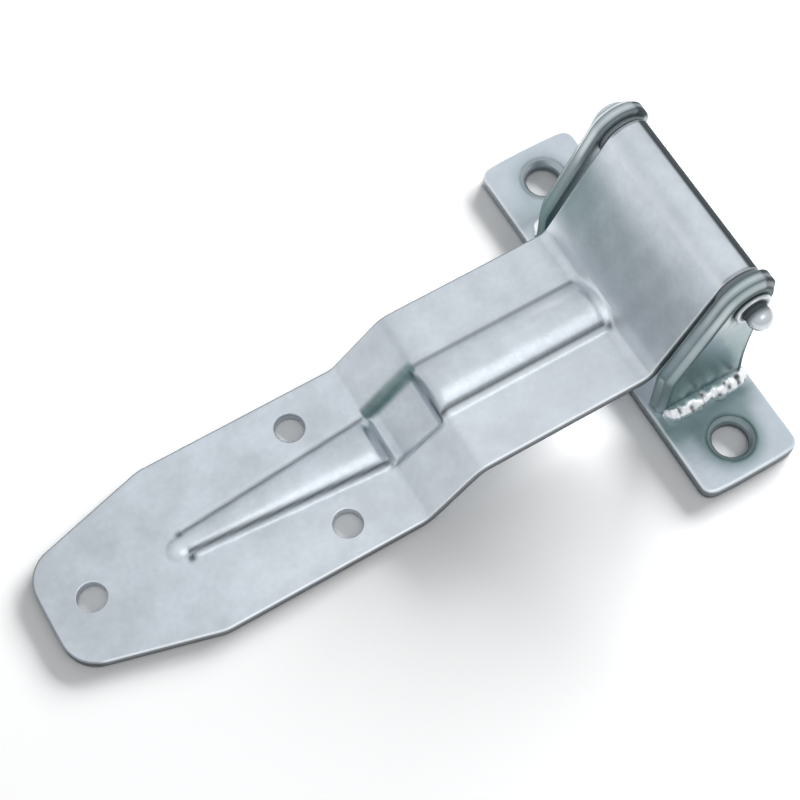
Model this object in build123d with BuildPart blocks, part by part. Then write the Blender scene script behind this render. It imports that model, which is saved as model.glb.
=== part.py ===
"""Strap hinge for a vehicle body door: a pressed strap leaf rolled round a pin, in a welded bracket.

Millimetres, +Z up out of the mounting face.  The origin is midway between the two bracket holes on
the bracket's mounting face, +X runs towards the strap's tip and +Y along the pin.  The hinge is
modelled closed, with the bracket's plate and the strap's flat end on the same face.
"""
from build123d import *
from math import acos, asin, atan2, cos, degrees, hypot, pi, sin
import os

os.makedirs("parts", exist_ok=True)

# ---- pin and its height ----
pin_r = 4.0            # hinge pin's shank
pin_height = 56.5      # pin axis above the mounting face
pin_back = 9.0         # pin axis behind the line of the bracket's holes
running_gap = 0.06     # pin to knuckle, on the radius
ear_fit_gap = 0.02     # pin to the ears and washers, on the radius
head_r = 6.5           # formed head at the pin's far end
head_h = 3.2
pin_tail = 6.7         # shank standing out of the end washer
tail_round = 3.8       # rounding of that end

# ---- strap leaf: one pressed sheet ----
sheet_t = 4.0
strap_w = 60.0
web_reach = 26.3       # web bend, ahead of the pin, on the outer surface
joggle_top = 87.1      # upper bend of the joggle, ahead of the pin
joggle_foot = 105.4    # lower bend of the joggle
joggle_rise = 17.6
tip_reach = 220.0
taper_len = 45.0       # tapered length before the tip
tip_half_w = 17.9      # half width that the tapers reach at the tip, before rounding
tip_round = 12.0
taper_round = 14.0
web_bend_r = 3.5       # inside radii of the bends
joggle_bend_r = 5.0
roll_gap_angle = 8.0   # between the roll's end and the back of the web

strap_hole_r = 4.8
pair_reach = 126.7     # pair of holes ahead of the pin
pair_pitch = 37.2
tip_hole_in = 14.7     # hole near the tip, back from the tip's edge

# ---- central bead, pressed up from below ----
bead_nose_in = 46.3    # narrow end of the bead, back from the tip's edge
button_in = 44.8       # centre of the round button that closes that end
button_r = 4.3
button_h = 2.3
bead_nose_w = 4.6      # half widths at the bead's foot
bead_foot_w = 9.6
bead_top_w = 10.2
bead_nose_h = 2.4
bead_foot_h = 4.0
bead_top_h = 4.5
bead_lap = 1.8         # the lower bead's end past the joggle's foot, up the slope
bead_lip = 1.2         # the upper bead's end past the joggle's upper bend
groove_d = 2.4         # groove where the bead crosses the joggle
groove_w = 10.8        # its half width at the sheet's face
groove_side = 3.0      # run of its sloping sides

# ---- bracket ----
plate_t = 5.0
plate_w = 35.0
plate_len = 136.4
plate_corner = 4.0
bracket_hole_r = 6.0
bracket_hole_in = 13.2  # holes' centres, in from the plate's ends
countersink = 1.3      # width and depth of the holes' chamfer

side_play = 0.15       # between the knuckle's ends and the thrust washers
washer_t = 1.5
thrust_r = 8.0         # thrust washers' outer radius
end_washer_r = 6.5
ear_t = 6.0
ear_top_r = 10.0       # ear round the pin
ear_front_in = 2.0     # ear's front foot behind the plate's front edge
ear_knee_h = 21.0      # height over the plate where the ear's front starts to slope
ear_waist = 2.4        # depth of the hollow in the ear's back
ear_bend_r = 8.0       # rounding of the ear's knee and shoulder
ear_edge = 2.2         # chamfer round the ear's outer face
weld_leg = 4.8
weld_belly = 0.5       # bulge of the weld's face
weld_inset = 1.8       # weld's ends inside the ear's ends

# ---- derived places ----
pin_x = -pin_back
knuckle_in = pin_r + running_gap
knuckle_out = knuckle_in + sheet_t
ear_in = strap_w / 2 + side_play + washer_t
ear_out = ear_in + ear_t
raised_z = sheet_t + joggle_rise
taper_start = tip_reach - taper_len
bead_nose = tip_reach - bead_nose_in
bracket_pitch = plate_len - 2 * bracket_hole_in


def corner(a, b, c, d):
    """Vertex of the path a-b-c moved sideways by d, to the left of its direction."""
    u = (b[0] - a[0], b[1] - a[1])
    v = (c[0] - b[0], c[1] - b[1])
    lu, lv = hypot(*u), hypot(*v)
    nu, nv = (-u[1] / lu, u[0] / lu), (-v[1] / lv, v[0] / lv)
    k = d / (1 + nu[0] * nv[0] + nu[1] * nv[1])
    return (b[0] + k * (nu[0] + nv[0]), b[1] + k * (nu[1] + nv[1]))


# Side profile of the strap, on its outer (upper) surface from the tip to the roll.
tip = (pin_x + tip_reach, sheet_t)
foot = (pin_x + joggle_foot, sheet_t)
top = (pin_x + joggle_top, raised_z)
bend = (pin_x + web_reach, raised_z)
span = hypot(bend[0] - pin_x, pin_height - bend[1])
rise = atan2(pin_height - bend[1], pin_x - bend[0]) - asin(knuckle_out / span)
face = rise - pi / 2                       # direction from the pin square to the web
tangent = (pin_x + knuckle_out * cos(face), pin_height + knuckle_out * sin(face))
inner_tangent = (pin_x + knuckle_in * cos(face), pin_height + knuckle_in * sin(face))
under = [corner(tip, foot, top, sheet_t), corner(foot, top, bend, sheet_t),
         corner(top, bend, tangent, sheet_t)]
roll = 360 - degrees(acos(knuckle_in / knuckle_out)) - roll_gap_angle
roll_end = face + roll * pi / 180

with BuildPart() as strap_leaf:
    with BuildSketch(Plane.XZ) as side:
        with BuildLine():
            Polyline(inner_tangent, under[2], under[1], under[0], (tip[0], 0), tip, foot, top, bend, tangent)
            CenterArc((pin_x, pin_height), knuckle_out, degrees(face), roll)
            Line((pin_x + knuckle_out * cos(roll_end), pin_height + knuckle_out * sin(roll_end)),
                 (pin_x + knuckle_in * cos(roll_end), pin_height + knuckle_in * sin(roll_end)))
            CenterArc((pin_x, pin_height), knuckle_in, degrees(face), roll)
        make_face()
        for place, radius in ((foot, joggle_bend_r), (under[0], joggle_bend_r + sheet_t),
                              (top, joggle_bend_r + sheet_t), (under[1], joggle_bend_r),
                              (bend, web_bend_r), (under[2], web_bend_r + sheet_t)):
            fillet(side.vertices().sort_by_distance((*place, 0))[0], radius)
    extrude(amount=strap_w / 2, both=True)

    # Plan outline: parallel strap, tapers, blunt rounded tip.
    with BuildSketch() as plan:
        with BuildLine():
            Polyline((pin_x - 2 * knuckle_out, -strap_w / 2), (pin_x + taper_start, -strap_w / 2),
                     (pin_x + tip_reach, -tip_half_w), (pin_x + tip_reach, tip_half_w),
                     (pin_x + taper_start, strap_w / 2), (pin_x - 2 * knuckle_out, strap_w / 2), close=True)
        make_face()
        fillet(plan.vertices().group_by(Axis.X)[-1], tip_round)
        for end in (-1, 1):
            fillet(plan.vertices().sort_by_distance((pin_x + taper_start, end * strap_w / 2, 0))[0],
                   taper_round)
    extrude(amount=2 * pin_height, mode=Mode.INTERSECT)


def bead_section(x, half, height, base, sink):
    """Arched face across the strap at x: a low circular arc over the level base, on a block below it."""
    with BuildSketch(Plane(origin=(x, 0, base), x_dir=(0, 1, 0), z_dir=(1, 0, 0))) as arch:
        with BuildLine():
            Polyline((-half, 0), (-half, -sink), (half, -sink), (half, 0))
            ThreePointArc((half, 0), (0, height), (-half, 0))
        make_face()
    return arch.sketch


def bead_button(x, radius, height, base, sink):
    """Round low dome that closes the bead's narrow end."""
    with BuildPart() as button:
        with BuildSketch(Plane(origin=(x, 0, base), x_dir=(0, 1, 0), z_dir=(1, 0, 0))):
            with BuildLine():
                Polyline((0, height), (0, -sink), (radius, -sink), (radius, 0))
                TangentArc((0, height), (radius, 0), tangent=(1, 0))
            make_face()
        revolve(axis=Axis((x, 0, base), (0, 0, -1)))
    return button.part


# The bead's raised lengths: a tapered one on the flat end, closed by the round button, and a parallel one
# on the raised flat that dies into the web.  Both are hollow below, so the sheet keeps its thickness.
skin = sheet_t / 2                       # how far a side of the bead moves in from outside to inside
with BuildPart() as bead_over:
    loft([bead_section(pin_x + bead_nose, bead_nose_w, bead_nose_h, sheet_t, skin),
          bead_section(foot[0] - bead_lap, bead_foot_w, bead_foot_h, sheet_t, skin)])
    add(bead_button(tip[0] - button_in, button_r, button_h, sheet_t, skin))
    loft([bead_section(pin_x + joggle_top + bead_lip, bead_top_w, bead_top_h, raised_z, skin),
          bead_section(pin_x + web_reach - skin, bead_top_w, bead_top_h, raised_z, skin)])

with BuildPart() as bead_under:
    loft([bead_section(pin_x + bead_nose, bead_nose_w - skin, bead_nose_h, 0, skin),
          bead_section(foot[0] + sheet_t - bead_lap, bead_foot_w - skin, bead_foot_h, 0, skin)])
    add(bead_button(tip[0] - button_in, button_r - skin, button_h, 0, skin))
    loft([bead_section(pin_x + joggle_top + bead_lip - sheet_t, bead_top_w - skin, bead_top_h, joggle_rise, skin),
          bead_section(pin_x + web_reach + sheet_t, bead_top_w - skin, bead_top_h, joggle_rise, skin)])

# Where the bead crosses the joggle it sinks into a shallow groove, with the same metal pushed out below.
ramp = (top[0] - foot[0], top[1] - foot[1])
ramp_len = hypot(*ramp)
across = Plane(origin=(foot[0], 0, foot[1]), x_dir=(0, 1, 0), z_dir=(ramp[0], 0, ramp[1]))


def groove_bar(top_y, bottom_y, half, start, end):
    """Bar along the joggle's slope with sloping sides; y runs into the sheet from its upper face."""
    with BuildPart() as bar:
        with BuildSketch(across.offset(start)):
            with BuildLine():
                Polyline((-half, top_y), (-half + groove_side, bottom_y), (half - groove_side, bottom_y),
                         (half, top_y), close=True)
            make_face()
        extrude(amount=end - start)
    return bar.part


with strap_leaf:
    add(groove_bar(sheet_t - skin, sheet_t + groove_d, groove_w - skin / 2, skin, ramp_len - skin))
    add(groove_bar(0, groove_d, groove_w, 0, ramp_len), mode=Mode.SUBTRACT)
    add(bead_over.part)
    add(bead_under.part, mode=Mode.SUBTRACT)
    with Locations((tip[0] - tip_hole_in, 0, sheet_t), (pin_x + pair_reach, -pair_pitch / 2, sheet_t),
                   (pin_x + pair_reach, pair_pitch / 2, sheet_t)):
        Hole(strap_hole_r, 2 * sheet_t)
strap_leaf.part.label = "strap_leaf"
export_step(strap_leaf.part, "parts/strap_leaf.step")

# ---- bracket: plate, two ears, and the welds along the ears' outer feet ----
with BuildPart() as base_plate:
    Box(plate_w, plate_len, plate_t, align=(Align.CENTER, Align.CENTER, Align.MIN))
    fillet(base_plate.edges().filter_by(Axis.Z), plate_corner)
    with Locations((0, -bracket_pitch / 2, plate_t), (0, bracket_pitch / 2, plate_t)):
        CounterSinkHole(bracket_hole_r, bracket_hole_r + countersink, plate_t)
base_plate.part.label = "base_plate"
export_step(base_plate.part, "parts/base_plate.step")

front_x = plate_w / 2 - ear_front_in
back_x = -plate_w / 2
knee = (front_x, plate_t + ear_knee_h)
knee_span = hypot(knee[0] - pin_x, pin_height - knee[1])
knee_dir = atan2(pin_height - knee[1], pin_x - knee[0]) - asin(ear_top_r / knee_span) - pi / 2
ear_back = (pin_x - ear_top_r, pin_height)
ear_crown = (pin_x, pin_height + ear_top_r)
ear_tangent = (pin_x + ear_top_r * cos(knee_dir), pin_height + ear_top_r * sin(knee_dir))

with BuildPart() as ear_left:
    with BuildSketch(Plane.XZ.offset(-ear_out)) as ear_side:
        with BuildLine():
            Polyline((back_x, plate_t), (front_x, plate_t), knee, ear_tangent)
            ThreePointArc(ear_tangent, ear_crown, ear_back)
            ThreePointArc(ear_back, ((ear_back[0] + back_x) / 2 + ear_waist, (pin_height + plate_t) / 2),
                          (back_x, plate_t))
        make_face()
        for place in (knee, ear_back):
            fillet(ear_side.vertices().sort_by_distance((*place, 0))[0], ear_bend_r)
    extrude(amount=ear_t)
    rim = ear_left.faces().sort_by(Axis.Y)[-1].edges()
    chamfer([edge for edge in rim if edge.center().Z > plate_t + ear_edge], ear_edge)
    with Locations(Plane.XZ.offset(-ear_out) * Pos(pin_x, pin_height)):
        Hole(pin_r + ear_fit_gap)
ear_left.part.label = "ear_left"
export_step(ear_left.part, "parts/ear_left.step")

with BuildPart() as ear_right:
    mirror(ear_left.part, about=Plane.XZ)
ear_right.part.label = "ear_right"
export_step(ear_right.part, "parts/ear_right.step")

with BuildPart() as weld_left:
    with BuildSketch(Plane.YZ.offset(back_x + weld_inset)):
        with BuildLine():
            Polyline((ear_out, plate_t + weld_leg), (ear_out, plate_t), (ear_out + weld_leg, plate_t))
            middle = weld_leg / 2 + weld_belly / 2 ** 0.5
            ThreePointArc((ear_out + weld_leg, plate_t), (ear_out + middle, plate_t + middle),
                          (ear_out, plate_t + weld_leg))
        make_face()
    extrude(amount=front_x - back_x - 2 * weld_inset)
weld_left.part.label = "weld_left"
export_step(weld_left.part, "parts/weld_left.step")

with BuildPart() as weld_right:
    mirror(weld_left.part, about=Plane.XZ)
weld_right.part.label = "weld_right"
export_step(weld_right.part, "parts/weld_right.step")

# ---- pin with its formed head, thrust washers and the washer under the rounded tail ----
pin_axis = Plane(origin=(pin_x, 0, pin_height), x_dir=(0, 1, 0), z_dir=(1, 0, 0))
tail = ear_out + washer_t + pin_tail
with BuildPart() as hinge_pin:
    with BuildSketch(pin_axis) as shank:
        with BuildLine():
            Polyline((-ear_out - head_h, 0), (tail, 0), (tail, pin_r), (-ear_out, pin_r), (-ear_out, head_r),
                     (-ear_out - head_h / 3, head_r))
            TangentArc((-ear_out - head_h, 0), (-ear_out - head_h / 3, head_r), tangent=(0, 1))
        make_face()
        fillet(shank.vertices().sort_by_distance((tail, pin_r, 0))[0], tail_round)
    revolve(axis=Axis((pin_x, 0, pin_height), (0, 1, 0)))
hinge_pin.part.label = "hinge_pin"
export_step(hinge_pin.part, "parts/hinge_pin.step")


def washer(start, radius):
    """Flat washer round the pin, from start along +Y."""
    with BuildPart() as ring:
        with BuildSketch(Plane(origin=(pin_x, start, pin_height), x_dir=(1, 0, 0), z_dir=(0, 1, 0))):
            Circle(radius)
            Circle(pin_r + ear_fit_gap, mode=Mode.SUBTRACT)
        extrude(amount=washer_t)
    return ring


thrust_washer_left = washer(strap_w / 2 + side_play, thrust_r)
thrust_washer_left.part.label = "thrust_washer_left"
export_step(thrust_washer_left.part, "parts/thrust_washer_left.step")

thrust_washer_right = washer(-ear_in, thrust_r)
thrust_washer_right.part.label = "thrust_washer_right"
export_step(thrust_washer_right.part, "parts/thrust_washer_right.step")

end_washer = washer(ear_out, end_washer_r)
end_washer.part.label = "end_washer"
export_step(end_washer.part, "parts/end_washer.step")
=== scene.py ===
"""Looks of a zinc plated strap leaf hinge: pressed strap, welded bracket, pin and washers."""
import math

import bpy
import numpy as np
from mathutils import Matrix, Vector


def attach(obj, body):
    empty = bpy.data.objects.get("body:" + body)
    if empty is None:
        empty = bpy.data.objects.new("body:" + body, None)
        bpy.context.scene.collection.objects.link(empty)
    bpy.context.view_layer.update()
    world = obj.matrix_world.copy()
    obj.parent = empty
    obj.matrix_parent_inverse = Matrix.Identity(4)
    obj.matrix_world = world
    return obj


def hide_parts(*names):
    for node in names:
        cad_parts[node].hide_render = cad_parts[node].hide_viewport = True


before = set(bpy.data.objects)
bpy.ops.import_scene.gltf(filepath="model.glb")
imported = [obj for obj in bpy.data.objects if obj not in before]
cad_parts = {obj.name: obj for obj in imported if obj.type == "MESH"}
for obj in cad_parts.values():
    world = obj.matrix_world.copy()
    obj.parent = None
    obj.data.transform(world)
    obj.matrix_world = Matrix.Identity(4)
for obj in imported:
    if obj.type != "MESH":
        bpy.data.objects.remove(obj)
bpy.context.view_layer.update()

MM = 0.001
TINY = 1e-6

# ---- the hinge's own sizes, in millimetres, as in the solids ----
PIN = (-9.0, 56.5)              # x and z of the pin's axis
PIN_R = 4.0
PIN_HEAD, PIN_TAIL = 3.2, 6.7   # how far its ends stand out, past the ear and past the end washer
BORE_R = 4.02                   # holes of the ears and washers
KNUCKLE_IN, KNUCKLE_OUT = 4.06, 8.06
SHEET = 4.0
STRAP_HALF = 30.0
TIP, FOOT, TOP, BEND = 211.0, 96.4, 78.1, 17.3   # x of the tip, of the joggle's two bends and of the web's
RAISED = 21.6                   # z of the raised flat's upper face
TAPER_LEN, TIP_HALF = 45.0, 17.9
STRAP_HOLES, STRAP_HOLE_R = ((196.3, 0.0), (117.7, 18.6), (117.7, -18.6)), 4.8    # x and y of each
PLATE_T, PLATE_HALF_W, PLATE_HALF_L, PLATE_CORNER = 5.0, 17.5, 68.2, 4.0
PLATE_HOLE_Y, PLATE_HOLE_R = 55.0, 6.0
EAR_IN, EAR_OUT = 31.65, 37.65  # y of the ears' two faces
EAR_FRONT, EAR_BACK, EAR_KNEE, EAR_CROWN = 15.5, -17.5, 26.0, 10.0
EAR_HOLLOW = 2.4                # how far the ear's back is bent in
WASHER_T, WASHER_R, END_WASHER_R = 1.5, 8.0, 6.2


# ---- paths, shapes of fades, and grids ----
def rounded_path(points, radii, step=0.05):
    """Polyline whose inner corners are circular arcs.

    Each corner of radius r is cut back by r*tan(turn/2) along both runs, and the arc between them
    is points at equal angles about the centre, which lies on the corner's bisector.
    """
    p = np.array(points, float)
    parts = [p[:1]]
    for a, b, c, r in zip(p[:-2], p[1:-1], p[2:], radii):
        u, v = (b - a) / np.linalg.norm(b - a), (c - b) / np.linalg.norm(c - b)
        turn = math.atan2(u[0] * v[1] - u[1] * v[0], float(u @ v))
        start = b - u * r * math.tan(abs(turn) / 2)
        centre = start + r * math.copysign(1.0, turn) * np.array([-u[1], u[0]])
        n = max(4, int(abs(turn) * r / step) + 2)
        ang = math.atan2(*(start - centre)[::-1]) + np.linspace(0, turn, n)
        parts.append(centre + r * np.stack([np.cos(ang), np.sin(ang)], 1))
    parts.append(p[-1:])
    return np.concatenate(parts)


def arc_length(points):
    """Running length along a polyline."""
    return np.concatenate([[0], np.cumsum(np.linalg.norm(np.diff(points, axis=0), axis=1))])


def even(points, step):
    """Points at equal steps of arc length along a polyline, its two ends included."""
    run = arc_length(points)
    s = np.linspace(0, run[-1], max(2, int(round(run[-1] / step)) + 1))
    return np.stack([np.interp(s, run, points[:, k]) for k in (0, 1)], 1)


def unit(vectors):
    """Vectors scaled to length 1, row by row."""
    return vectors / np.linalg.norm(vectors, axis=1)[:, None]


def right_normals(points):
    """Unit normals to the right of a polyline's direction, from central differences."""
    t = unit(np.gradient(points, axis=0))
    return np.stack([t[:, 1], -t[:, 0]], 1)


def ease(x):
    """Smooth step from 0 at 0 to 1 at 1 with level ends: x*x*x*(10 - 15x + 6x*x)."""
    x = np.clip(x, 0, 1)
    return x * x * x * (x * (6 * x - 15) + 10)


def bell(x, width, power=2):
    """Bell that is 1 at 0 and falls off either way: exp(-(x/width)^power); power 4 has a flat top."""
    return np.exp(-(x / width) ** power)


def between(values, i, j):
    """Values of a grid at fractional places, from the four neighbours in proportion."""
    i0 = np.clip(np.floor(i).astype(int), 0, values.shape[0] - 2)
    j0 = np.clip(np.floor(j).astype(int), 0, values.shape[1] - 2)
    u, v = i - i0, j - j0
    return ((1 - u) * (1 - v) * values[i0, j0] + u * (1 - v) * values[i0 + 1, j0]
            + (1 - u) * v * values[i0, j0 + 1] + u * v * values[i0 + 1, j0 + 1])


def grid_faces(index, close_u=False, close_v=False):
    """Quads of a grid of vertex numbers, closed round in either direction if asked."""
    if close_u:
        index = np.concatenate([index, index[:1]], 0)
    if close_v:
        index = np.concatenate([index, index[:, :1]], 1)
    corners = [index[:-1, :-1], index[1:, :-1], index[1:, 1:], index[:-1, 1:]]
    return np.stack(corners, -1).reshape(-1, 4)


def make_piece(name, verts, faces, material, body, slot, painted_shade, painted_highlight, painted_teal_shade):
    """Mesh from vertices in millimetres and faces, smooth shaded, with three marks of painted light and
    shade per vertex.
    """
    mesh = bpy.data.meshes.new(name)
    mesh.from_pydata((verts * MM).tolist(), [], faces)
    mesh.validate()
    mesh.update()
    mesh.polygons.foreach_set("use_smooth", np.ones(len(mesh.polygons), bool))
    for key, values in (("painted_shade", painted_shade), ("painted_highlight", painted_highlight), ("painted_teal_shade", painted_teal_shade)):
        mark = mesh.attributes.new(key, "FLOAT", "POINT")
        mark.data.foreach_set("value", np.asarray(values, np.float32))
    mesh.materials.append(material)
    piece = bpy.data.objects.new(name, mesh)
    bpy.context.scene.collection.objects.link(piece)
    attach(piece, body)
    return piece


# ---- a flat or folded sheet with holes ----
class Sheet:
    """Sheet of metal laid out flat: s along it, y across it, depth into it from its upper face.

    rows are stations along s, half is the half width at each, and side_n the outward normal of
    the long side there. Each of ends is a row, a lead and a reach: the lead says how far the
    outline at that end moves along s as a function of y, and it fades out over the reach. edge is
    the upper edge's radius and the lower edge's smaller one. holes are s, y and radius, and
    hole_edge is the wall of each from the top down, as pairs of extra radius and depth. The grid
    is rows times columns, drawn in by the upper edge's radius, and each hole squeezes a square
    block of cells to a circle.
    """

    def __init__(self, rows, half, side_n, cols, thick, edge, ends, holes, hole_edge):
        r_top, r_low = edge
        across = np.linspace(-1, 1, cols)[None]
        s = rows[:, None] - r_top * side_n[:, :1] * np.abs(across) ** 3
        y = (half - r_top * np.abs(side_n[:, 1]))[:, None] * across
        for end, lead, reach in ends:
            fade = 1 - ease(np.abs(rows - rows[end]) / reach)
            s = s + fade[:, None] * lead(y[end])
        self.s, self.y = s, y
        keep = np.ones((s.shape[0] - 1, s.shape[1] - 1), bool)
        rims = [self._open(hs, hy, hr + hole_edge[0][0], keep) for hs, hy, hr in holes]
        count = s.size
        grid = np.arange(count).reshape(s.shape)
        self.rings = [(s.ravel(), y.ravel(), np.full(count, d), np.zeros(count)) for d in (0.0, thick)]
        faces = [grid_faces(grid)[keep.ravel()][:, ::-1], grid_faces(grid + count)[keep.ravel()]]
        self.used = 2 * count

        # Rounded wall round the outline: the boundary's vertices pushed out along its normal.
        loop = np.concatenate([grid[:-1, 0], grid[-1, :-1], grid[:0:-1, -1], grid[0, :0:-1]])
        ls, ly = s.ravel()[loop], y.ravel()[loop]
        ns, ny = self._outward(ls, ly)
        a = np.linspace(0, math.pi / 2, 6)[1:]
        out = np.concatenate([r_top * np.sin(a), r_top - r_low * (1 - np.sin(a[::-1])), [r_top - r_low]])
        depth = np.concatenate([r_top * (1 - np.cos(a)), thick - r_low * (1 - np.cos(a[::-1])), [thick]])
        # Each ring carries a painted highlight on the rounded upper edge
        walls = [self._ring(ls + ns * o, ly + ny * o, d, bell(d - 0.35 * r_top, 0.8 * r_top))
                 for o, d in zip(out, depth)]
        rim_end = self.used
        faces.append(grid_faces(np.stack([loop, *walls, loop + count]), close_v=True)[:, ::-1])

        # Walls of the holes, from the top block's inner ring down to the lower one's, with a painted
        # highlight on their upper part.
        for (hs, hy, hr), rim in zip(holes, rims):
            phi = np.arctan2(y.ravel()[rim] - hy, s.ravel()[rim] - hs)
            rim_s, rim_y = np.cos(phi), np.sin(phi)
            walls = [self._ring(hs + (hr + dr) * rim_s, hy + (hr + dr) * rim_y, d, 0.6 * (d < 1))
                     for dr, d in hole_edge[1:]]
            faces.append(grid_faces(np.stack([rim, *walls, rim + count]), close_v=True))

        faces = np.concatenate(faces)
        kept = np.unique(faces)
        renumber = np.zeros(self.used, int)
        renumber[kept] = np.arange(len(kept))
        self.faces = renumber[faces]
        # edge_mark is the rings' painted highlight along the rounded edges, also used as a mask for painted
        # shade
        self.S, self.Y, self.D, self.edge_mark = (np.concatenate(part)[kept] for part in zip(*self.rings))
        self.outline = (kept >= 2 * count) & (kept < rim_end)

    def _ring(self, s, y, depth, painted_gleam):
        """Adds a ring of vertices at one depth, with its share of painted highlight, and gives their
        numbers.
        """
        self.rings.append((s, y, np.full(len(s), depth), np.full(len(s), painted_gleam)))
        self.used += len(s)
        return np.arange(self.used - len(s), self.used)

    def _outward(self, ls, ly):
        """Outward normals of the closed boundary, square at sharp corners."""
        p = np.stack([ls, ly], 1)
        fwd, bwd = unit(np.roll(p, -1, 0) - p), unit(p - np.roll(p, 1, 0))
        nf, nb = np.stack([fwd[:, 1], -fwd[:, 0]], 1), np.stack([bwd[:, 1], -bwd[:, 0]], 1)
        n = (nf + nb) / (1 + np.sum(nf * nb, 1))[:, None]
        area = np.sum(p[:, 0] * np.roll(p[:, 1], -1) - np.roll(p[:, 0], -1) * p[:, 1])
        return (n if area > 0 else -n).T

    def _open(self, hs, hy, rim, keep, inner=5, outer=11):
        """Opens a hole and gives the vertices of its ring.

        Square rings of cells slide between the hole's circle and the border of their block.
        """
        i0 = int(np.argmin(np.abs(self.s[:, self.s.shape[1] // 2] - hs)))
        j0 = int(np.argmin(np.abs(self.y[i0] - hy)))
        a, b = np.meshgrid(np.arange(-outer, outer + 1), np.arange(-outer, outer + 1), indexing="ij")
        k = np.maximum(np.abs(a), np.abs(b))
        ds = (self.s[i0 + outer, j0] - self.s[i0 - outer, j0]) / (2 * outer)
        dy = (self.y[i0, j0 + outer] - self.y[i0, j0 - outer]) / (2 * outer)
        out_i, out_j = (c0 + c * outer / np.maximum(k, 1) for c0, c in ((i0, a), (j0, b)))
        phi = np.arctan2(b * dy, a * ds)
        f = np.clip((k - inner) / (outer - inner), 0, 1)
        new_s = (hs + rim * np.cos(phi)) * (1 - f) + between(self.s, out_i, out_j) * f
        new_y = (hy + rim * np.sin(phi)) * (1 - f) + between(self.y, out_i, out_j) * f
        move = (k >= inner) & (k < outer)
        self.s[i0 + a[move], j0 + b[move]] = new_s[move]
        self.y[i0 + a[move], j0 + b[move]] = new_y[move]
        keep[i0 - inner:i0 + inner, j0 - inner:j0 + inner] = False
        n = self.s.shape[1]
        line = np.arange(-inner, inner)
        return np.concatenate([(i0 + line) * n + j0 - inner, (i0 + inner) * n + j0 + line,
                               (i0 - line) * n + j0 + inner, (i0 - inner) * n + j0 - line])


def hole_wall(radius, thick, turns=(0.4, 0.8, 1.2, math.pi / 2)):
    """Wall of a punched hole: its upper edge rounded by a radius, then straight down."""
    rounded = [(radius * (1 - math.sin(a)), radius * (1 - math.cos(a))) for a in turns]
    return [(radius, 0), *rounded, (0, thick / 2), (0, thick - 0.3), (0.1, thick - 0.1)]


def side_normals(rows, half):
    """Outward unit normals of a long side whose half width is given at each row."""
    slope = np.gradient(half, rows)
    return np.stack([-slope, np.ones_like(slope)], 1) / np.hypot(slope, 1)[:, None]


# ---- materials ----
class Nodes:
    """Shader tree built call by call: each call adds a node and gives one of its outputs."""

    def __init__(self, owner):
        owner.use_nodes = True
        self.tree = owner.node_tree
        self.tree.nodes.clear()

    def __call__(self, kind, inputs=None, output=0, **settings):
        """inputs are values for sockets, or other nodes' outputs that are linked to them."""
        node = self.tree.nodes.new("ShaderNode" + kind)
        for key, value in settings.items():
            setattr(node, key, value)
        for key, value in (inputs or {}).items():
            if isinstance(value, bpy.types.NodeSocket):
                self.tree.links.new(value, node.inputs[key])
            else:
                node.inputs[key].default_value = value
        return node.outputs[output] if len(node.outputs) else None

    def math(self, op, *values):
        """Math node of two or three values."""
        return self("Math", dict(enumerate(values)), operation=op)

    def ramp(self, value, lo, hi, a, b):
        """Value turned from lo..hi to a..b, and held at both."""
        return self("MapRange", {"Value": value, "From Min": lo, "From Max": hi, "To Min": a, "To Max": b})

    def tinted(self, share, colour, tint):
        """Colour that goes over to a tint by a share."""
        colours = [c if isinstance(c, bpy.types.NodeSocket) else (*c, 1.0) for c in (colour, tint)]
        return self("Mix", {"Factor": share, 6: colours[0], 7: colours[1]}, output=2, data_type="RGBA")


# Colours of the painted marks: painted shade, painted teal shade and painted highlight
MARK_COLOURS = (                # mark of the vertices, its colour's largest share, its colour
    ("painted_shade", 0.94, (0.060, 0.075, 0.080)),
    ("painted_teal_shade", 1.0, (0.125, 0.215, 0.215)),
    ("painted_highlight", 0.6, (0.86, 0.89, 0.91)),
)


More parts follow.
